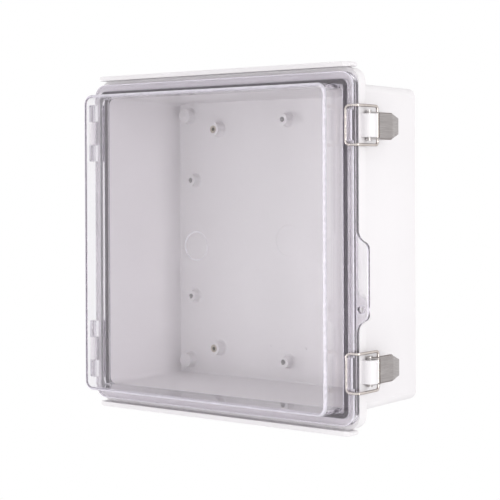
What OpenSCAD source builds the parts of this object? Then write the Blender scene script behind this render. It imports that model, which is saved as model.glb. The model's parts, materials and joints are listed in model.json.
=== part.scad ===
// Hinged enclosure: opaque base, clear domed door, two wire-bail draw latches.
// The back (wall) face lies in the plane y = 0, the front faces -Y, +Z is up,
// and the origin is the middle of the back face. All lengths are in millimetres.

/* [Enclosure] */
// Width of the door, which is also the width of the base's rim
door_w = 280; // [250:1:400]
// Height of the door
door_h = 280; // [270:1:400]
// Depth of the base, from the wall face to the rim
base_d = 100; // [70:1:160]
// Depth of the door's dome in front of the rim
dome_d = 32.5; // [20:0.5:60]

/* [Base shell] */
// Distance from the rim's side edge in to the base's back corner
rim_overhang = 9; // [8:0.5:12]
// Thickness of the side walls
wall = 3.5; // [2.5:0.1:4]
// Thickness of the back wall
back_wall = 3; // [2.5:0.1:5]
// Moulding draft of the side walls, in degrees
draft = 0.5; // [0:0.1:1]
// Radius of the shell's four long corners
shell_r = 7; // [6.5:0.5:10]
// Rounding where the side walls meet the wall face
back_edge_r = 2; // [1:0.1:3]
// Rounding inside, where the side walls meet the back wall
floor_r = 1.5; // [0.5:0.1:1.5]

/* [Rim and rain strips] */
// Thickness of the rim plate
rim_t = 3.5; // [2.5:0.1:5]
// Depth of the skirt turned back round the rim
skirt_d = 9.8; // [8:0.1:14]
// Thickness of the skirt
skirt_t = 3; // [2:0.1:4]
// Radius of the rim's corners
rim_r = 12; // [10:0.5:16]
// Gap between the door's top edge and the rain strip above it
gutter = 3.6; // [2:0.1:6]
// Thickness of each rain strip
strip_t = 3.9; // [3:0.1:6]
// Distance from the rim's side edge in to the end of each rain strip
strip_in = 4.2; // [2:0.1:10]
// How far each rain strip stands in front of the rim
strip_front = 7.9; // [4:0.1:12]
// How far each rain strip runs behind the rim's front face
strip_back = 4.5; // [3:0.1:8]
// Length of the slanted end of a rain strip
strip_bevel_l = 6.1; // [2:0.1:10]
// How far the slanted end of a rain strip falls back
strip_bevel_d = 2.8; // [1:0.1:4]
// Height of the sealing tongue on the rim
tongue_h = 1.3; // [0.8:0.1:2]
// Thickness of the sealing tongue
tongue_t = 1.6; // [1:0.1:2.4]

/* [Bosses and mould marks] */
// Diameter of the closed corner bosses that take the wall screws from behind
wall_boss_d = 13.6; // [12:0.1:16]
// Height of the corner bosses
wall_boss_h = 8.8; // [7:0.1:14]
// Distance from the shell's outside to the axis of a corner boss
wall_boss_in = 15.9; // [15:0.1:20]
// Diameter of the dimple in the middle of a corner boss
dimple_d = 3; // [2:0.1:4]
// Depth of the dimple
dimple_depth = 0.5; // [0.3:0.1:0.8]
// Diameter of the blind wall-screw holes
wall_hole_d = 4.2; // [3:0.1:6]
// Plastic left in front of a wall-screw hole
wall_hole_cap = 3; // [2:0.1:4]
// Diameter of the bosses with brass inserts
panel_boss_d = 13.2; // [11:0.1:15]
// Height of the bosses with brass inserts
panel_boss_h = 9.4; // [9:0.1:16]
// Distance from the shell's side to the axis of an insert boss
panel_boss_in_x = 51.4; // [45:0.1:60]
// Distance from the shell's top or bottom to the axis of an insert boss
panel_boss_in_z = 29.4; // [26:0.1:34]
// Diameter of the side bosses
side_boss_d = 11.4; // [9:0.1:13]
// Height of the side bosses
side_boss_h = 7.4; // [7:0.1:14]
// Distance from the shell's side to the axis of a side boss
side_boss_in = 22.1; // [18:0.1:26]
// Distance between the upper and lower side bosses
side_boss_gap = 108.8; // [80:0.1:120]
// Diameter of the screw holes in the side bosses
side_hole_d = 4.8; // [3:0.1:5.5]
// Diameter of the two bosses on the middle line
mid_boss_d = 11.6; // [10:0.1:14]
// Height of the two bosses on the middle line
mid_boss_h = 9.2; // [8:0.1:16]
// Distance from the shell's top or bottom to the axis of a middle boss
mid_boss_in = 22.5; // [18:0.1:28]
// Diameter of the screw holes in the middle bosses
mid_hole_d = 5; // [3:0.1:6]
// Diameter of the moulding-gate disc in the middle of the back wall
back_gate_d = 28; // [20:0.1:34]
// Diameter of the two ejector marks low on the back wall
ejector_d = 2.2; // [1.6:0.1:4]
// Distance between the ejector marks
ejector_gap = 39.4; // [30:0.1:50]
// Distance from the shell's bottom to the ejector marks
ejector_in = 35.3; // [32:0.1:40]
// Plastic left at the bottom of the screw holes in the bosses
boss_floor = 1.5; // [1:0.1:3]
// Narrowing of a boss from root to top, on the diameter
boss_taper = 0.8; // [0:0.1:1.5]
// Size of the slanted fillet round a boss's root
boss_root = 1; // [0.5:0.1:1.5]

/* [Brass inserts] */
// Outer diameter of a brass insert
insert_d = 7; // [6:0.1:8]
// Length of a brass insert
insert_l = 8; // [5:0.1:9]
// Diameter of the hole in a brass insert
insert_hole_d = 3.4; // [2.5:0.1:4.5]

/* [Door] */
// Width of the door's flange outside the dome
flange_w = 10; // [9.5:0.1:16]
// Thickness of the door's flange
flange_t = 7.5; // [6.5:0.1:9]
// Radius of the flange's corners
flange_r = 12; // [10.5:0.5:16]
// Rounding of the flange's front outer edge
flange_edge_r = 1.2; // [0.5:0.1:2]
// Clearance between the closed door and the rim
door_gap = 0.4; // [0.3:0.1:0.8]
// Thickness of the clear dome
dome_wall = 2.5; // [2:0.1:4]
// Radius of the dome's corners
dome_r = 8.5; // [7:0.5:12]
// Rounding of the dome's front edges
dome_edge_r = 3; // [1.5:0.1:4]
// Distance from the flange's outer edge in to the seal groove
seal_in = 5.9; // [5:0.1:6]
// Width of the seal groove
seal_w = 4.7; // [3.5:0.1:4.7]
// Clear plastic left in front of the seal groove
seal_web = 1.9; // [1.5:0.1:3]
// Clearance between the gasket and the walls of its groove
seal_fit = 0.05; // [0.02:0.01:0.2]
// Clearance between the gasket and the rim's tongue
seal_gap = 0.4; // [0.3:0.1:0.8]
// Diameter of the moulding-gate disc in the front of the dome
gate_d = 23.6; // [10:0.1:30]
// Depth of the moulding-gate discs, in the door and in the back wall
gate_depth = 0.4; // [0.2:0.1:0.8]

/* [Pull tab and padlock lug] */
// How far the pull tab stands out from the flange
tab_w = 10.8; // [8:0.1:14]
// Thickness of the pull tab
tab_t = 3.6; // [2.5:0.1:5]
// Height of the tab's full-width stretch
tab_flat = 49; // [30:0.5:60]
// Height of the middle of the tab, from the middle of the door
tab_z = -25.5; // [-35:0.5:35]
// Radius of the tab's hollow roots
tab_root_r = 10; // [8:0.1:12]
// Radius of the tab's outer corners
tab_tip_r = 7.4; // [4:0.1:9]
// Rounding along the tab's outer edge
tab_edge_r = 1.2; // [0.5:0.1:1.2]
// How far the padlock lug stands out from the rim
lug_w = 7.8; // [7.2:0.1:10]
// Thickness of the padlock lug
lug_t = 6; // [4:0.1:9]
// Height of the lug's full-width stretch
lug_flat = 9.8; // [6:0.1:14]
// Radius of the lug's hollow roots
lug_root_r = 6.5; // [4:0.1:8]
// Radius of the lug's outer corners
lug_tip_r = 4.5; // [3:0.1:6]
// Diameter of the padlock hole
padlock_d = 6; // [4:0.1:6.4]
// Distance from the flange's edge out to the padlock hole
padlock_out = 3.6; // [3.5:0.1:4]
// Height of the padlock hole, from the middle of the tab
padlock_z = -22; // [-22:0.5:0]

/* [Hinges] */
// Distance from the door's top or bottom edge to the middle of a hinge
hinge_in = 43; // [42:0.5:50]
// Distance from the flange's edge out to the hinge axis
hinge_out = 5.3; // [5.1:0.1:6.5]
// How far the hinge axis lies in front of the rim
hinge_front = 3.5; // [3:0.1:4]
// Radius of the hinge knuckles
knuckle_r = 4.2; // [3.6:0.1:4.4]
// Length of a base knuckle
base_knuckle_l = 20.2; // [16:0.1:24]
// Length of a door knuckle
door_knuckle_l = 14.9; // [12:0.1:16]
// End clearance between neighbouring knuckles
knuckle_gap = 0.35; // [0.3:0.05:0.6]
// Rounding of a hinge's outer ends
knuckle_end_r = 4; // [2:0.1:4]
// Diameter of a hinge pin
hinge_pin_d = 3; // [2.5:0.1:4]

/* [Latches] */
// Distance from the door's top or bottom edge to the middle of a latch
latch_in = 42.8; // [42:0.1:50]
// Distance from the rim's edge out to the lever's pivot
pivot_out = 3.2; // [3.2:0.1:4]
// Depth of the lever's pivot behind the rim's front face
pivot_back = 9.3; // [9.3:0.1:11]
// Radius of the rounded latch block
block_r = 6.8; // [6:0.1:7]
// Length of the latch block, along the pivot
block_l = 18.6; // [16:0.1:20]
// Thickness of the lever's steel sheet
sheet_t = 1; // [0.8:0.1:1.2]
// End clearance between the latch block and the lever's ears
ear_gap = 0.5; // [0.3:0.05:0.6]
// Radius of a lever's ear round its pivot
ear_r = 2.9; // [2.6:0.1:2.9]
// Distance from the pivot back to the bail's rear leg
bail_back = 9.3; // [9.2:0.1:10]
// Distance from the pivot out to the bail's rear leg
bail_out = 2; // [1.5:0.1:2.5]
// Length of the lever's flat stretch behind the bail
tail_l = 19; // [12:0.1:24]
// Distance from the pivot out to the lever's outer face
tail_out = 3.3; // [3.2:0.1:4]
// Depth of the lever's turned edges
tail_flange = 3; // [2:0.1:4]
// Outer bend radius of the lever's turned edges
tail_bend_r = 1.8; // [1.3:0.1:2]
// Length of the lever's nose
nose_l = 6.5; // [5:0.1:12]
// Width of the nose at its tip
nose_tip_w = 14.2; // [8:0.1:16]
// Outward tilt of the nose, in degrees
nose_tilt = 14; // [0:1:30]
// Rounding of the nose's tip
nose_r = 1.4; // [0.5:0.1:2]
// Diameter of a lever's pivot pin
pivot_pin_d = 3; // [2.4:0.1:3.2]
// Diameter of the pivot pin's heads
pin_head_d = 4.6; // [4:0.1:5]
// Thickness of the pivot pin's heads
pin_head_t = 0.8; // [0.5:0.1:1]

/* [Wire bails and catches] */
// Diameter of the bail wire
wire_d = 2.2; // [1.6:0.1:2.6]
// Height of a bail, outside to outside
bail_h = 33; // [30:0.5:36]
// Distance from the flange's edge in to the bail's front leg
hook_in = 6.3; // [6.3:0.1:7]
// Distance from the pivot out to the bail's side legs
arm_out = 2; // [1.5:0.1:2.5]
// Bend radius of the front corners, on the wire's middle line
bail_front_r = 3.6; // [2.5:0.1:5]
// Bend radius of the rear corners, on the wire's middle line
bail_rear_r = 2.4; // [2:0.1:3]
// Bend radius where the side legs turn forward, on the wire's middle line
bail_side_r = 3; // [2:0.1:5]
// Clearance of a closed bail from the door, its catch and the lever's tail
bail_gap = 0.3; // [0.2:0.05:0.4]
// Height of a catch above the flange
catch_h = 2.6; // [2:0.1:3]
// Length of a catch
catch_l = 24.4; // [20:0.1:24.4]
// Rounding of a catch's front corners
catch_r = 1.2; // [0.5:0.1:1.3]

/* [Running fits] */
// Radial clearance of a pin in a turning hole
pin_fit = 0.08; // [0.02:0.01:0.1]
// Radial clearance of a fixed pin or insert in its seat
seat_fit = 0.02; // [0.01:0.01:0.05]

/* [Hidden] */
$fn = 24;
// facets round a wire, a boss or a small hole
small_fn = 16;

// how far a solid runs into its neighbour, or a cut runs past what it cuts
bite = 1;
// how far two arcs of an S curve overlap, so that they cross cleanly
lap = 0.02;
// smallest radius left at an inner corner
least_r = 0.4;

// depth planes, negative towards the front
rim_y = -base_d;
door_back_y = rim_y - door_gap;
door_front_y = door_back_y - flange_t;
dome_front_y = rim_y - dome_d;
floor_y = -back_wall;

// shell sizes, at the wall face and at the rim
shell_w = door_w - 2 * rim_overhang;
shell_h = door_h - 2 * rim_overhang;
lean = (base_d - back_edge_r) * tan(draft);
rim_h = door_h + 2 * gutter;
strip_z = rim_h / 2;
strip_w = door_w - 2 * strip_in;

// dome sizes
dome_w = door_w - 2 * flange_w;
dome_h = door_h - 2 * flange_w;
groove_r = flange_r - seal_in;
groove_inner_r = max(groove_r - seal_w, least_r);
tongue_mid_in = seal_in + seal_w / 2;

// places of the bosses
wall_boss_x = shell_w / 2 - wall_boss_in;
wall_boss_z = shell_h / 2 - wall_boss_in;
panel_boss_x = shell_w / 2 - panel_boss_in_x;
panel_boss_z = shell_h / 2 - panel_boss_in_z;
side_boss_x = shell_w / 2 - side_boss_in;
mid_boss_z = shell_h / 2 - mid_boss_in;

// hinge axis and latch pivot
hinge_x = -door_w / 2 - hinge_out;
hinge_y = rim_y - hinge_front;
hinge_z = door_h / 2 - hinge_in;
hinge_l = base_knuckle_l + 2 * (door_knuckle_l + knuckle_gap);
pivot_x = door_w / 2 + pivot_out;
pivot_y = rim_y + pivot_back;
latch_z = door_h / 2 - latch_in;

// bail: front leg (hook), rear leg and side legs
wire_r = wire_d / 2;
hook_x = door_w / 2 - hook_in;
hook_y = door_front_y - bail_gap - wire_r;
arm_x = pivot_x + arm_out;
rear_y = pivot_y + bail_back;
leg_z = bail_h / 2 - wire_r;

// lever
ear_in_z = block_l / 2 + ear_gap;
ear_out_z = ear_in_z + sheet_t;
lever_w = 2 * ear_out_z;
face_x = pivot_x + tail_out;
tail_y = rear_y + wire_r + bail_gap;
tail_end_y = tail_y + tail_l;

// ---------- shared shapes ----------

// rectangle with round corners, centred, in the X-Y plane of a sketch
module rounded_rect(w, h, r) {
    square([w - 2 * r, h], center = true);
    square([w, h - 2 * r], center = true);
    for (sx = [-1, 1], sy = [-1, 1])
        translate([sx * (w / 2 - r), sy * (h / 2 - r)]) circle(r);
}

// bar with half-round ends, centred, in the X-Y plane of a sketch
module round_bar(w, h) {
    square([w - h, h], center = true);
    for (s = [-1, 1]) translate([s * (w - h) / 2, 0]) circle(h / 2);
}

// slab with the outline of a sketch seen from the front, from y0 back to y0 + depth
module slab(y0, depth)
    translate([0, y0 + depth, 0]) rotate([90, 0, 0]) linear_extrude(depth) children();

// frame with one cross-section all round a rounded rectangle w wide and h high:
// the section's x runs outward from that outline, and its y runs back along +Y
module swept_frame(w, h, r)
    rotate([-90, 0, 0])
        for (k = [0:3]) {
            a = (k % 2 == 0 ? w : h) / 2 - r;
            b = (k % 2 == 0 ? h : w) / 2 - r;
            rotate([0, 0, 90 * k]) translate([a, b, 0]) {
                rotate_extrude(angle = 90) translate([r, 0]) children();
                rotate([90, 0, 0]) linear_extrude(2 * b) translate([r, 0]) children();
            }
        }

// upright bar with the outline of a sketch seen from above
module upright(z_mid, height)
    translate([0, 0, z_mid - height / 2]) linear_extrude(height) children();

// rod along +Y from y0
module rod_y(x, y0, z, d1, d2, length)
    translate([x, y0, z]) rotate([-90, 0, 0]) cylinder(d1 = d1, d2 = d2, h = length);

// copies at the four corners of a rectangle seen from the front
module four(x, z)
    for (sx = [-1, 1], sz = [-1, 1]) translate([sx * x, 0, sz * z]) children();

// side view of an ear on an upright edge: full width w over the flat stretch,
// with an S curve at each end made of a tip arc and a hollow root arc
module flared_ear(w, flat, root_r, tip_r) {
    reach = root_r + tip_r - lap;
    across = root_r + tip_r - w;
    tip = [w - tip_r, flat / 2];
    foot = tip[1] + sqrt(reach * reach - across * across);
    join = tip + ([root_r, foot] - tip) * tip_r / reach;
    difference() {
        union() {
            polygon([
                [-bite, -foot], [0, -foot], [join[0], -join[1]], [tip[0], -tip[1]],
                tip, join, [0, foot], [-bite, foot]
            ]);
            translate([0, -flat / 2]) square([w, flat]);
            for (s = [-1, 1]) translate([tip[0], s * tip[1]]) circle(tip_r);
        }
        for (s = [-1, 1]) translate([root_r, s * foot]) circle(root_r);
    }
}

// ---------- base ----------

// cross-section of the shell: drafted side wall, rounded edge, and part of the back wall
module shell_section() {
    difference() {
        union() {
            polygon([
                [-shell_r, 0], [-back_edge_r, 0], [0, -back_edge_r],
                [lean, rim_y], [-shell_r, rim_y]
            ]);
            translate([-back_edge_r, -back_edge_r]) circle(back_edge_r);
        }
        polygon([
            [-shell_r - bite, floor_y], [-wall - floor_r, floor_y], [-wall, floor_y - floor_r],
            [lean - wall, rim_y], [lean - wall, rim_y - bite], [-shell_r - bite, rim_y - bite]
        ]);
        translate([-wall - floor_r, floor_y - floor_r]) circle(floor_r);
    }
}

module shell() {
    swept_frame(shell_w, shell_h, shell_r) shell_section();
    middle = 2 * (shell_r - bite);
    slab(floor_y, back_wall) square([shell_w - middle, shell_h - middle], center = true);
}

// rim plate with its skirt turned back, and the tongue that presses on the seal
module rim() {
    inner_w = shell_w + 2 * lean - wall;
    inner_h = shell_h + 2 * lean - wall;
    slab(rim_y, rim_t) difference() {
        rounded_rect(door_w - skirt_t, rim_h - skirt_t, rim_r - skirt_t / 2);
        rounded_rect(inner_w, inner_h, shell_r - wall / 2);
    }
    slab(rim_y, skirt_d) difference() {
        rounded_rect(door_w, rim_h, rim_r);
        rounded_rect(door_w - 2 * skirt_t, rim_h - 2 * skirt_t, rim_r - skirt_t);
    }
    tongue_r = flange_r - tongue_mid_in;
    slab(rim_y - tongue_h, tongue_h + bite) difference() {
        rounded_rect(door_w - 2 * tongue_mid_in + tongue_t, door_h - 2 * tongue_mid_in + tongue_t,
            tongue_r + tongue_t / 2);
        rounded_rect(door_w - 2 * tongue_mid_in - tongue_t, door_h - 2 * tongue_mid_in - tongue_t,
            max(tongue_r - tongue_t / 2, least_r));
    }
}

// rain strips above and below the door, with round ends that slant back
module rain_strips()
    for (s = [-1, 1]) {
        translate([0, 0, s * (strip_z + strip_t / 2)]) difference() {
            slab(rim_y - strip_front, strip_front + strip_back) round_bar(strip_w, strip_t);
            for (e = [0, 1])
                mirror([e, 0, 0]) translate([strip_w / 2, rim_y - strip_front, 0])
                    upright(0, 2 * strip_t) polygon([
                        [-strip_bevel_l, 0], [0, -bite], [bite, -bite],
                        [bite, strip_bevel_d], [0, strip_bevel_d]
                    ]);
        }
        translate([0, 0, s * strip_z])
            slab(rim_y, strip_back) square([door_w - 2 * rim_r, strip_t], center = true);
    }

// rounded block on the side wall that carries one latch
module latch_block(z)
    upright(z, block_l) {
        translate([pivot_x, pivot_y]) circle(block_r);
        translate([shell_w / 2 - bite, pivot_y - block_r])
            square([pivot_x - shell_w / 2 + bite, 2 * block_r]);
    }

// knuckle on the rim's left edge, with a web that runs back into the skirt
module base_knuckle(z)
    upright(z, base_knuckle_l) {
        translate([hinge_x, hinge_y]) circle(knuckle_r);
        polygon([
            [hinge_x - knuckle_r, hinge_y], [hinge_x + knuckle_r, hinge_y],
            [hinge_x + knuckle_r, rim_y], [-door_w / 2 + bite, rim_y],
            [-door_w / 2 + bite, rim_y + skirt_d], [-door_w / 2 - skirt_t, rim_y + skirt_d],
            [hinge_x - knuckle_r, rim_y + skirt_t]
        ]);
    }

module padlock_lug()
    translate([door_w / 2, 0, tab_z + padlock_z])
        slab(rim_y, lug_t) flared_ear(lug_w, lug_flat, lug_root_r, lug_tip_r);

// boss that narrows towards its top, with a slanted fillet round its root
module boss(x, z, d, h) {
    $fn = small_fn;
    rod_y(x, floor_y - h, z, d - boss_taper, d, h - boss_root);
    rod_y(x, floor_y - boss_root, z, d, d + 2 * (boss_root + bite), boss_root + bite);
}

module bosses() {
    for (sx = [-1, 1], sz = [-1, 1]) {
        boss(sx * wall_boss_x, sz * wall_boss_z, wall_boss_d, wall_boss_h);
        boss(sx * panel_boss_x, sz * panel_boss_z, panel_boss_d, panel_boss_h);
        boss(sx * side_boss_x, sz * side_boss_gap / 2, side_boss_d, side_boss_h);
    }
    for (s = [-1, 1]) boss(0, s * mid_boss_z, mid_boss_d, mid_boss_h);
}

module boss_holes() {
    $fn = small_fn;
    wall_hole_l = back_wall + wall_boss_h - wall_hole_cap;
    four(wall_boss_x, wall_boss_z) {
        rod_y(0, -wall_hole_l, 0, wall_hole_d, wall_hole_d, wall_hole_l + bite);
        rod_y(0, floor_y - wall_boss_h - bite, 0, dimple_d, dimple_d, bite + dimple_depth);
    }
    insert_seat_d = insert_d + 2 * seat_fit;
    four(panel_boss_x, panel_boss_z) {
        rod_y(0, floor_y - panel_boss_h - bite, 0, insert_seat_d, insert_seat_d, insert_l + bite);
        rod_y(0, floor_y - panel_boss_h, 0, insert_hole_d, insert_hole_d,
            panel_boss_h + back_wall - boss_floor);
    }
    four(side_boss_x, side_boss_gap / 2)
        rod_y(0, floor_y - side_boss_h - bite, 0, side_hole_d, side_hole_d,
            side_boss_h + back_wall - boss_floor + bite);
    for (s = [-1, 1])
        rod_y(0, floor_y - mid_boss_h - bite, s * mid_boss_z, mid_hole_d, mid_hole_d,
            mid_boss_h + back_wall - boss_floor + bite);
    for (s = [-1, 1])
        rod_y(s * ejector_gap / 2, floor_y - bite, ejector_in - shell_h / 2, ejector_d, ejector_d,
            bite + gate_depth);
}

module base() color([0.86, 0.85, 0.86])
    difference() {
        union() {
            shell();
            rim();
            rain_strips();
            padlock_lug();
            bosses();
            for (s = [-1, 1]) {
                latch_block(s * latch_z);
                base_knuckle(s * hinge_z);
            }
        }
        boss_holes();
        rod_y(0, floor_y - bite, 0, back_gate_d, back_gate_d, bite + gate_depth);
        padlock_hole();
        for (s = [-1, 1]) {
            pin_hole(pivot_x, pivot_y, s * latch_z, block_l, pivot_pin_d / 2 + seat_fit);
            pin_hole(hinge_x, hinge_y, s * hinge_z, base_knuckle_l, hinge_pin_d / 2 + seat_fit);
        }
    }

// upright round hole, a little longer than what it passes through
module pin_hole(x, y, z, length, r)
    translate([x, y, z - length / 2 - bite]) cylinder(r = r, h = length + 2 * bite);

// one hole through the tab and the lug
module padlock_hole()
    rod_y(door_w / 2 + padlock_out, door_front_y - bite, tab_z + padlock_z, padlock_d, padlock_d,
        flange_t + door_gap + skirt_d + 2 * bite);

// ---------- door ----------

// cross-section of the dome: side wall with a rounded front edge and part of the front
module dome_section() {
    depth = dome_d - door_gap;
    front = -depth;
    difference() {
        union() {
            polygon([
                [-dome_r, front], [-dome_edge_r, front], [0, front + dome_edge_r],
                [0, 0], [-dome_r, 0]
            ]);
            translate([-dome_edge_r, front + dome_edge_r]) circle(dome_edge_r);
        }
        inner_r = max(dome_edge_r - dome_wall, least_r);
        polygon([
            [-dome_r - bite, front + dome_wall], [-dome_wall - inner_r, front + dome_wall],
            [-dome_wall, front + dome_wall + inner_r], [-dome_wall, bite], [-dome_r - bite, bite]
        ]);
        translate([-dome_wall - inner_r, front + dome_wall + inner_r]) circle(inner_r);
    }
}

// cross-section of the flange, outside the dome's corners
module flange_section() {
    polygon([
        [-flange_r, 0], [0, 0], [0, flange_edge_r - flange_t],
        [-flange_edge_r, -flange_t], [-flange_r, -flange_t]
    ]);
    translate([-flange_edge_r, flange_edge_r - flange_t]) circle(flange_edge_r);
}

// ring in the flange's back that the seal lies in, shrunk all round by a clearance
module seal_ring(y0, depth, clearance) {
    in = seal_in + clearance;
    inner_in = seal_in + seal_w - clearance;
    slab(y0, depth) difference() {
        rounded_rect(door_w - 2 * in, door_h - 2 * in, groove_r - clearance);
        rounded_rect(door_w - 2 * inner_in, door_h - 2 * inner_in, groove_inner_r + clearance);
    }
}

// two clear knuckles on the flange's left edge, rounded at the hinge's outer ends
module door_knuckles(z)
    intersection() {
        for (s = [-1, 1])
            upright(z + s * (hinge_l - door_knuckle_l) / 2, door_knuckle_l) {
                translate([hinge_x, hinge_y]) circle(knuckle_r);
                polygon([
                    [hinge_x, hinge_y - knuckle_r], [-door_w / 2 + bite, hinge_y - knuckle_r],
                    [-door_w / 2 + bite, door_back_y], [hinge_x, door_back_y]
                ]);
            }
        translate([hinge_x - knuckle_r + hinge_l / 2, 0, z])
            slab(hinge_y - 2 * knuckle_r, 4 * knuckle_r)
                rounded_rect(hinge_l, hinge_l, knuckle_end_r);
    }

// raised catch on the flange that holds one bail's front leg
module catch(z)
    upright(z, catch_l)
        translate([hook_x + wire_r + bail_gap, door_front_y - catch_h]) {
            w = hook_in - wire_r - bail_gap;
            translate([0, catch_r]) square([w, catch_h - catch_r + bite]);
            translate([catch_r, 0]) square([w - 2 * catch_r, catch_h]);
            for (x = [catch_r, w - catch_r]) translate([x, catch_r]) circle(catch_r);
        }

// tab with rounded corners along its outer edge
module pull_tab()
    translate([door_w / 2, 0, tab_z])
        intersection() {
            slab(door_back_y - tab_t, tab_t) flared_ear(tab_w, tab_flat, tab_root_r, tab_tip_r);
            translate([-bite, door_back_y - tab_t])
                upright(0, 2 * tab_flat + 2 * tab_root_r) channel(tab_w + bite + lap, tab_t, tab_edge_r);
        }

module door() color([0.82, 0.80, 0.86, 0.45]) {
    ring = 2 * (flange_r - bite);
    pane = 2 * (dome_r - bite);
    difference() {
        union() {
            translate([0, door_back_y, 0]) {
                swept_frame(dome_w, dome_h, dome_r) dome_section();
                swept_frame(door_w, door_h, flange_r) flange_section();
                slab(-flange_t, flange_t) difference() {
                    square([door_w - ring, door_h - ring], center = true);
                    rounded_rect(dome_w - 2 * dome_wall, dome_h - 2 * dome_wall, dome_r - dome_wall);
                }
            }
            slab(dome_front_y, dome_wall) square([dome_w - pane, dome_h - pane], center = true);
            pull_tab();
            for (s = [-1, 1]) {
                door_knuckles(s * hinge_z);
                catch(s * latch_z);
            }
        }
        seal_ring(door_front_y + seal_web, flange_t - seal_web + bite, 0);
        padlock_hole();
        rod_y(0, dome_front_y - bite, 0, gate_d, gate_d, bite + gate_depth);
        for (s = [-1, 1])
            pin_hole(hinge_x, hinge_y, s * hinge_z, hinge_l, hinge_pin_d / 2 + pin_fit);
    }
}

// ---------- seal ----------

// closed ring that fills the seal groove down to the tongue
module gasket() color([0.25, 0.24, 0.26])
    seal_ring(door_front_y + seal_web + seal_fit,
        flange_t - seal_web - seal_fit + door_gap - tongue_h - seal_gap, seal_fit);

// ---------- hinge pins ----------

module hinge_pin(z)
    translate([hinge_x, hinge_y, z - hinge_l / 2]) cylinder(d = hinge_pin_d, h = hinge_l);

module upper_hinge_pin() color("silver") hinge_pin(hinge_z);
module lower_hinge_pin() color("silver") hinge_pin(-hinge_z);

// ---------- latches ----------

// ear of the lever: round its pivot, round the bail's rear leg, and back to the tail
module ear_outline() {
    eye_r = wire_r + pin_fit + sheet_t;
    edge_x = face_x - tail_flange;
    bend_x = face_x - tail_bend_r;
    root_y = tail_y + tail_flange;
    translate([pivot_x, pivot_y]) circle(ear_r);
    translate([arm_x, rear_y]) circle(eye_r);
    polygon([
        [pivot_x - ear_r, pivot_y], [pivot_x + ear_r, pivot_y], [arm_x + eye_r, rear_y],
        [bend_x, tail_y], [bend_x, root_y], [edge_x, root_y], [edge_x, rear_y]
    ]);
}

// cross-section of the tail: flat web with both edges turned towards the wall
module tail_section()
    difference() {
        translate([face_x - tail_flange, -lever_w / 2]) channel(tail_flange, lever_w, tail_bend_r);
        translate([face_x - sheet_t - tail_flange, -ear_in_z])
            channel(tail_flange, 2 * ear_in_z, tail_bend_r - sheet_t);
    }

// block with its two right-hand corners rounded
module channel(w, h, r) {
    square([w - r, h]);
    translate([0, r]) square([w, h - 2 * r]);
    for (y = [r, h - r]) translate([w - r, y]) circle(r);
}

// flat nose that narrows to a rounded tip
module nose_outline() {
    tip = nose_l - nose_r;
    half = nose_tip_w / 2 - nose_r;
    root = ear_in_z - tail_bend_r;
    wide = lever_w / 2 - tail_bend_r / 2;
    polygon([
        [-sheet_t, -root], [0, -wide], [tip, -half - nose_r], [nose_l, -half],
        [nose_l, half], [tip, half + nose_r], [0, wide], [-sheet_t, root]
    ]);
    for (s = [-1, 1]) translate([tip, s * half]) circle(nose_r);
}

module latch_lever(z) color([0.72, 0.70, 0.70])
    translate([0, 0, z])
        difference() {
            union() {
                for (s = [-1, 1]) upright(s * (ear_in_z + sheet_t / 2), sheet_t) ear_outline();
                translate([0, tail_end_y, 0]) rotate([90, 0, 0]) linear_extrude(tail_l) tail_section();
                translate([face_x, tail_end_y, 0]) rotate([0, 0, -nose_tilt])
                    rotate([0, -90, 0]) linear_extrude(sheet_t) rotate(90) nose_outline();
            }
            pin_hole(pivot_x, pivot_y, 0, lever_w, pivot_pin_d / 2 + pin_fit);
            pin_hole(arm_x, rear_y, 0, lever_w, wire_r + pin_fit);
        }

// closed wire loop: front leg behind the catch, side legs over the door's edge,
// rear leg through the lever's ears
module latch_bail(z) color("gainsboro")
    translate([0, 0, z]) {
        $fn = small_fn;
        straight_z = leg_z - bail_front_r;
        translate([hook_x, hook_y, -straight_z]) cylinder(r = wire_r, h = 2 * straight_z);
        rear_z = leg_z - bail_rear_r;
        translate([arm_x, rear_y, -rear_z]) cylinder(r = wire_r, h = 2 * rear_z);
        for (s = [-1, 1]) mirror([0, 0, s < 0 ? 1 : 0]) {
            translate([hook_x + bail_front_r, hook_y, straight_z]) rotate([90, 0, 0])
                rotate([0, 0, 90]) wire_bend(bail_front_r);
            translate([hook_x + bail_front_r, hook_y, leg_z]) rotate([0, 90, 0])
                cylinder(r = wire_r, h = arm_x - hook_x - bail_front_r - bail_side_r);
            translate([arm_x - bail_side_r, hook_y + bail_side_r, leg_z]) rotate([0, 0, -90])
                wire_bend(bail_side_r);
            translate([arm_x, hook_y + bail_side_r, leg_z]) rotate([-90, 0, 0])
                cylinder(r = wire_r, h = rear_y - bail_rear_r - hook_y - bail_side_r);
            translate([arm_x, rear_y - bail_rear_r, rear_z]) rotate([90, 0, 90])
                wire_bend(bail_rear_r);
        }
    }

// quarter turn of wire, from +x round to +y
module wire_bend(r)
    rotate_extrude(angle = 90) translate([r, 0]) circle(wire_r);

module latch_pin(z) color("silver")
    translate([pivot_x, pivot_y, z]) {
        half = ear_out_z + ear_gap;
        translate([0, 0, -half]) cylinder(d = pivot_pin_d, h = 2 * half);
        for (s = [-1, 1]) mirror([0, 0, s < 0 ? 1 : 0])
            translate([0, 0, half]) cylinder(d = pin_head_d, h = pin_head_t);
    }

module upper_latch_lever() latch_lever(latch_z);
module upper_latch_bail() latch_bail(latch_z);
module upper_latch_pin() latch_pin(latch_z);
module lower_latch_lever() latch_lever(-latch_z);
module lower_latch_bail() latch_bail(-latch_z);
module lower_latch_pin() latch_pin(-latch_z);

// ---------- brass inserts ----------

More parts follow.
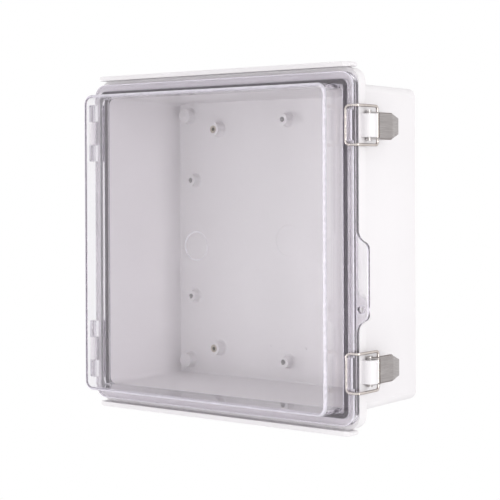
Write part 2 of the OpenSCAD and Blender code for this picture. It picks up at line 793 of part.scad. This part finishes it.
module insert(sx, sz) color([0.75, 0.60, 0.35])
    difference() {
        rod_y(sx * panel_boss_x, floor_y - panel_boss_h, sz * panel_boss_z, insert_d, insert_d, insert_l);
        rod_y(sx * panel_boss_x, floor_y - panel_boss_h - bite, sz * panel_boss_z,
            insert_hole_d, insert_hole_d, insert_l + 2 * bite);
    }

module upper_left_insert() insert(-1, 1);
module upper_right_insert() insert(1, 1);
module lower_left_insert() insert(-1, -1);
module lower_right_insert() insert(1, -1);

base();
door();
gasket();
upper_hinge_pin();
lower_hinge_pin();
upper_latch_lever();
upper_latch_bail();
upper_latch_pin();
lower_latch_lever();
lower_latch_bail();
lower_latch_pin();
upper_left_insert();
upper_right_insert();
lower_left_insert();
lower_right_insert();
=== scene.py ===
"""Looks of the hinged enclosure: materials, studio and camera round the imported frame."""

import json
import math

import bpy
from mathutils import Matrix, Vector

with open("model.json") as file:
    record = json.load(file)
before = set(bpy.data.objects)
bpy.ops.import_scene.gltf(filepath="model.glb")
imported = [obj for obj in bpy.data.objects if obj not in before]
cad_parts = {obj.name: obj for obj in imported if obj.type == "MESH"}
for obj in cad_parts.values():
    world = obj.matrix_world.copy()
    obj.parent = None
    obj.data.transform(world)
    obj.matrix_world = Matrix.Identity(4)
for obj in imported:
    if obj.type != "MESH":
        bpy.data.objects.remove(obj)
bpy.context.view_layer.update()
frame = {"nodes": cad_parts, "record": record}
nodes = frame["nodes"]


# ---------- node helpers ----------

BEVEL_SAMPLES = 6

def srgb(r, g, b):
    """Linear colour of an 8-bit display colour."""
    def linear(v):
        v /= 255
        return v / 12.92 if v <= 0.04045 else ((v + 0.055) / 1.055) ** 2.4
    return (linear(r), linear(g), linear(b), 1.0)


class Tree:
    """A new material's node tree, with short calls to add and link nodes."""

    def __init__(self, name):
        self.material = bpy.data.materials.new(name)
        self.material.use_nodes = True
        self.nodes = self.material.node_tree.nodes
        self.links = self.material.node_tree.links
        self.nodes.clear()
        self.out = self.nodes.new("ShaderNodeOutputMaterial")

    def add(self, kind, **values):
        node = self.nodes.new("ShaderNode" + kind)
        for key, value in values.items():
            if key in node.bl_rna.properties:
                setattr(node, key, value)
            else:
                node.inputs[key.replace("_", " ")].default_value = value
        return node

    def link(self, a, b):
        self.links.new(a, b)

    def coordinates(self, scale=(1, 1, 1)):
        """Object coordinates, which are metres in the row's frame."""
        place = self.add("TexCoord")
        mapping = self.add("Mapping")
        mapping.inputs["Scale"].default_value = scale
        self.link(place.outputs["Object"], mapping.inputs["Vector"])
        return mapping.outputs["Vector"]

    def noise(self, vector, scale, detail=4.0, roughness=0.5):
        node = self.add("TexNoise", Scale=scale, Detail=detail, Roughness=roughness)
        self.link(vector, node.inputs["Vector"])
        return node.outputs["Fac"]

    def ramp(self, value, low, high, start=0.3, end=0.7):
        """Two colours or greys blended over a stretch of a value."""
        node = self.add("ValToRGB")
        stops = zip(node.color_ramp.elements, (start, end), (low, high))
        for element, place, colour in stops:
            element.position = place
            element.color = colour if isinstance(colour, tuple) else (colour, colour, colour, 1)
        self.link(value, node.inputs["Fac"])
        return node.outputs["Color"]

    def bump(self, height, strength, distance, edge=None):
        """Bumped normal, over edges rounded to a radius where one is given."""
        node = self.add("Bump", Strength=strength, Distance=distance)
        self.link(height, node.inputs["Height"])
        if edge:
            rounded = self.add("Bevel", Radius=edge, samples=BEVEL_SAMPLES)
            self.link(rounded.outputs["Normal"], node.inputs["Normal"])
        return node.outputs["Normal"]


    def edges(self, radius, most, vector):
        """Share of pale haze on the rounds between front and sides, 0 on flats, broken by a
        noise: partly edge wear, partly a painted highlight along those rounds.
        """
        rounded = self.add("Bevel", Radius=radius, samples=BEVEL_SAMPLES)
        local = self.add("VectorTransform", vector_type="NORMAL",
                         convert_from="WORLD", convert_to="OBJECT")
        self.link(rounded.outputs["Normal"], local.inputs["Vector"])
        parts = self.add("SeparateXYZ")
        self.link(local.outputs["Vector"], parts.inputs["Vector"])
        facing = self.add("Math", operation="ABSOLUTE")
        self.link(parts.outputs["Y"], facing.inputs[0])
        near = self.ramp(facing.outputs["Value"], 0.0, 0.0, 0.08, 0.995)
        elements = near.node.color_ramp.elements
        for place in (0.30, 0.93):
            elements.new(place).color = (most, most, most, 1)
        broken = self.add("Math", operation="MULTIPLY")
        self.link(near, broken.inputs[0])
        self.link(self.ramp(self.noise(vector, 300, 3), 0.75, 1.0), broken.inputs[1])
        return broken.outputs["Value"]


# ---------- materials ----------

PC_IOR = 1.585
PC_IOR_SATIN = 1.58
EDGE_ROUND = 0.0005     # radius that moulded edges are shaded with, in metres
# The pale haze on the door's rounded edges is partly wear and partly a painted highlight.
WEAR_AND_SHEEN_WIDTH = 0.0011     # reach of the pale haze from an edge of the door, in metres
WEAR_AND_SHEEN_SHARE = 0.7        # most of the haze in the clear plastic's shader

def grey_plastic():
    """Moulded polycarbonate: satin, with a fine spark-eroded grain and a faint flow mottle."""
    t = Tree("grey_plastic")
    where = t.coordinates()
    mottle = t.ramp(t.noise(where, 9, 3), srgb(227, 224, 226), srgb(231, 228, 230))
    shine = t.ramp(t.noise(where, 60, 4), 0.42, 0.50)
    grain = t.bump(t.noise(where, 2600, 2), 0.10, 0.00005, edge=EDGE_ROUND)
    body = t.add("BsdfPrincipled", IOR=PC_IOR_SATIN)
    t.link(mottle, body.inputs["Base Color"])
    t.link(shine, body.inputs["Roughness"])
    t.link(grain, body.inputs["Normal"])
    t.link(body.outputs["BSDF"], t.out.inputs["Surface"])
    return t.material


def clear_plastic():
    """Clear polycarbonate: violet in long paths, with a fine pale haze along its edges that is
    partly wear and partly a painted highlight.
    """
    t = Tree("clear_plastic")
    where = t.coordinates()
    body = t.add("BsdfPrincipled", IOR=PC_IOR)
    body.inputs["Transmission Weight"].default_value = 1.0
    body.inputs["Base Color"].default_value = (1, 1, 1, 1)
    t.link(t.ramp(t.noise(where, 14, 3), 0.012, 0.03), body.inputs["Roughness"])
    t.link(t.bump(t.noise(where, 22, 2), 0.05, 0.0002, edge=EDGE_ROUND), body.inputs["Normal"])

    # Pale haze on the rounds between front and sides: partly wear, partly a painted highlight.
    wear_and_sheen_body = t.add("BsdfPrincipled", Roughness=0.3, IOR=PC_IOR)
    wear_and_sheen_body.inputs["Base Color"].default_value = srgb(238, 233, 244)
    wear_and_sheen_mix = t.add("MixShader")
    t.link(t.edges(WEAR_AND_SHEEN_WIDTH, WEAR_AND_SHEEN_SHARE, where), wear_and_sheen_mix.inputs["Fac"])
    t.link(body.outputs["BSDF"], wear_and_sheen_mix.inputs[1])
    t.link(wear_and_sheen_body.outputs["BSDF"], wear_and_sheen_mix.inputs[2])

    lamp_through = t.add("BsdfTransparent", Color=(0.94, 0.93, 0.94, 1))
    path = t.add("LightPath")
    mix = t.add("MixShader")
    t.link(path.outputs["Is Shadow Ray"], mix.inputs["Fac"])
    t.link(wear_and_sheen_mix.outputs["Shader"], mix.inputs[1])
    t.link(lamp_through.outputs["BSDF"], mix.inputs[2])
    t.link(mix.outputs["Shader"], t.out.inputs["Surface"])
    tint = t.add("VolumeAbsorption", Density=30.0, Color=srgb(196, 184, 206))
    t.link(tint.outputs["Volume"], t.out.inputs["Volume"])
    return t.material


def seal_rubber():
    """Foamed seal: dark, matte, full of fine pores."""
    t = Tree("seal_rubber")
    where = t.coordinates()
    pores = t.noise(where, 1400, 5, 0.7)
    body = t.add("BsdfPrincipled")
    t.link(t.ramp(pores, srgb(44, 36, 46), srgb(68, 58, 70)), body.inputs["Base Color"])
    body.inputs["Roughness"].default_value = 0.85
    t.link(t.bump(pores, 0.5, 0.0003), body.inputs["Normal"])
    t.link(body.outputs["BSDF"], t.out.inputs["Surface"])
    return t.material


def steel(name, low, high, rough_low, rough_high, grain, strength, edge):
    """Stainless steel with a grain: noise stretched by the three scales in grain."""
    t = Tree(name)
    lines = t.noise(t.coordinates(grain), 1.0, 6, 0.65)
    cloud = t.noise(t.coordinates(), 130, 3)
    body = t.add("BsdfPrincipled", Metallic=1.0)
    body.inputs["Specular Tint"].default_value = edge
    t.link(t.ramp(lines, low, high), body.inputs["Base Color"])
    t.link(t.ramp(cloud, rough_low, rough_high), body.inputs["Roughness"])
    t.link(t.bump(lines, strength, 0.00005), body.inputs["Normal"])
    t.link(body.outputs["BSDF"], t.out.inputs["Surface"])
    return t.material


def turned_brass():
    t = Tree("insert_brass")
    cloud = t.noise(t.coordinates(), 500, 4)
    body = t.add("BsdfPrincipled", Metallic=1.0)
    t.link(t.ramp(cloud, srgb(176, 166, 150), srgb(206, 197, 182)), body.inputs["Base Color"])
    t.link(t.ramp(cloud, 0.25, 0.38), body.inputs["Roughness"])
    t.link(body.outputs["BSDF"], t.out.inputs["Surface"])
    return t.material


MATERIALS = {
    "grey_plastic": grey_plastic(),
    "clear_plastic": clear_plastic(),
    "seal_rubber": seal_rubber(),
    "steel": steel("steel", srgb(190, 187, 186), srgb(214, 212, 210), 0.2, 0.3,
                   (900, 900, 90), 0.15, srgb(160, 140, 130)),
    "steel_sheet": steel("steel_sheet", srgb(164, 159, 159), srgb(194, 190, 189), 0.26, 0.38,
                         (1500, 60, 1500), 0.25, srgb(130, 115, 108)),
    "steel_wire": steel("steel_wire", srgb(206, 198, 193), srgb(230, 223, 219), 0.14, 0.24,
                        (300, 300, 300), 0.1, srgb(110, 86, 74)),
    "insert_brass": turned_brass(),
}


def dress(obj, slot):
    obj.data.materials.clear()
    obj.data.materials.append(MATERIALS[slot])


for row in frame["record"]["subparts"]:
    dress(nodes[row["node"]], row["material_slot"])


# ---------- studio ----------

FLOOR_SIZE = 6.0
FLOOR_HEIGHT = -0.42
LIT_BY_WORLD = 0.9
LAMP_AIM = Vector((0, -0.05, 0))

def pale_floor():
    """White floor, far enough below the hung box to take only a faint shadow."""
    t = Tree("pale_floor")
    body = t.add("BsdfPrincipled", Roughness=0.9)
    grain = t.noise(t.coordinates(), 3, 2)
    t.link(t.ramp(grain, 0.92, 0.94), body.inputs["Base Color"])
    white = t.add("Emission", Strength=1.0)
    path = t.add("LightPath")
    seen = t.add("Math", operation="MAXIMUM")
    seen_too = t.add("Math", operation="MAXIMUM")
    t.link(path.outputs["Is Camera Ray"], seen.inputs[0])
    t.link(path.outputs["Is Glossy Ray"], seen.inputs[1])
    t.link(seen.outputs[0], seen_too.inputs[0])
    t.link(path.outputs["Is Transmission Ray"], seen_too.inputs[1])
    mix = t.add("MixShader")
    t.link(seen_too.outputs[0], mix.inputs["Fac"])
    t.link(body.outputs["BSDF"], mix.inputs[1])
    t.link(white.outputs["Emission"], mix.inputs[2])
    t.link(mix.outputs["Shader"], t.out.inputs["Surface"])
    return t.material


def plane(name, size, place, material):
    mesh = bpy.data.meshes.new(name)
    half = size / 2
    mesh.from_pydata([(-half, -half, 0), (half, -half, 0), (half, half, 0), (-half, half, 0)],
                     [], [(0, 1, 2, 3)])
    obj = bpy.data.objects.new(name, mesh)
    obj.location = place
    bpy.context.collection.objects.link(obj)
    mesh.materials.append(material)
    return obj


floor = plane("floor", FLOOR_SIZE, (0, 0, FLOOR_HEIGHT), pale_floor())

world = bpy.data.worlds.new("studio")
bpy.context.scene.world = world
world.use_nodes = True
wn, wl = world.node_tree.nodes, world.node_tree.links
wn.clear()
w_out = wn.new("ShaderNodeOutputWorld")
w_lit = wn.new("ShaderNodeBackground")
w_seen = wn.new("ShaderNodeBackground")
w_mix = wn.new("ShaderNodeMixShader")
w_path = wn.new("ShaderNodeLightPath")
w_lit.inputs["Color"].default_value = (1, 1, 1, 1)
w_lit.inputs["Strength"].default_value = LIT_BY_WORLD
w_seen.inputs["Color"].default_value = (1, 1, 1, 1)
w_seen.inputs["Strength"].default_value = 1.0
w_clear = wn.new("ShaderNodeMath")
w_clear.operation = "MAXIMUM"
w_max = wn.new("ShaderNodeMath")
w_max.operation = "MAXIMUM"
wl.new(w_path.outputs["Is Camera Ray"], w_clear.inputs[0])
wl.new(w_path.outputs["Is Transmission Ray"], w_clear.inputs[1])
wl.new(w_clear.outputs[0], w_max.inputs[0])
wl.new(w_path.outputs["Is Glossy Ray"], w_max.inputs[1])
wl.new(w_max.outputs[0], w_mix.inputs["Fac"])
wl.new(w_lit.outputs["Background"], w_mix.inputs[1])
wl.new(w_seen.outputs["Background"], w_mix.inputs[2])
wl.new(w_mix.outputs["Shader"], w_out.inputs["Surface"])


def softbox(name, place, size, power, mirrored):
    """Area lamp turned to the door; one that isn't mirrored leaves no bright patch in it."""
    light = bpy.data.lights.new(name, "AREA")
    light.shape = "RECTANGLE"
    light.size, light.size_y = size
    light.energy = power
    obj = bpy.data.objects.new(name, light)
    obj.location = place
    way = LAMP_AIM - Vector(place)
    obj.rotation_euler = way.to_track_quat("-Z", "Y").to_euler()
    obj.visible_glossy = mirrored
    bpy.context.collection.objects.link(obj)


softbox("left_box", (-2.1, -1.6, -0.2), (0.35, 0.35), 12.5, False)
softbox("front_box", (0.0, -2.2, -0.3), (0.35, 0.35), 3.4, False)
softbox("right_strip", (1.6, -0.6, 0.1), (0.14, 1.2), 8.6, True)
softbox("high_strip", (-1.3, -1.2, 1.3), (1.3, 0.14), 1.6, True)


# ---------- camera ----------

CAMERA_PLACE = Vector((0.76807, -1.04228, 0.05434))
CAMERA_YAW = math.radians(38.022)
CAMERA_PITCH = math.radians(0.391)
CAMERA_ROLL = math.radians(-0.228)
LENS = 103.51
SHIFT_UP = -0.12
SENSOR = 36
NEAREST = 0.01


def camera_axes(yaw, pitch, roll):
    """Right, up and backward axes of a camera turned round the object by yaw."""
    forward = Vector((-math.sin(yaw) * math.cos(pitch),
                      math.cos(yaw) * math.cos(pitch),
                      -math.sin(pitch)))
    right = Vector((math.cos(yaw), math.sin(yaw), 0))
    up = right.cross(forward)
    level = (right, up)
    right = math.cos(roll) * level[0] + math.sin(roll) * level[1]
    up = -math.sin(roll) * level[0] + math.cos(roll) * level[1]
    return right, up, -forward


camera = bpy.data.cameras.new("camera")
camera.lens = LENS
camera.sensor_width = SENSOR
camera.shift_y = SHIFT_UP
camera.clip_start = NEAREST
holder = bpy.data.objects.new("camera", camera)
turn = Matrix(camera_axes(CAMERA_YAW, CAMERA_PITCH, CAMERA_ROLL)).transposed().to_4x4()
holder.matrix_world = Matrix.Translation(CAMERA_PLACE) @ turn
bpy.context.collection.objects.link(holder)
bpy.context.scene.camera = holder
bpy.context.scene.view_settings.view_transform = "Standard"
cycles = bpy.context.scene.cycles
cycles.use_denoising = True
cycles.max_bounces = 24
cycles.transmission_bounces = 24
cycles.glossy_bounces = 8
cycles.diffuse_bounces = 6
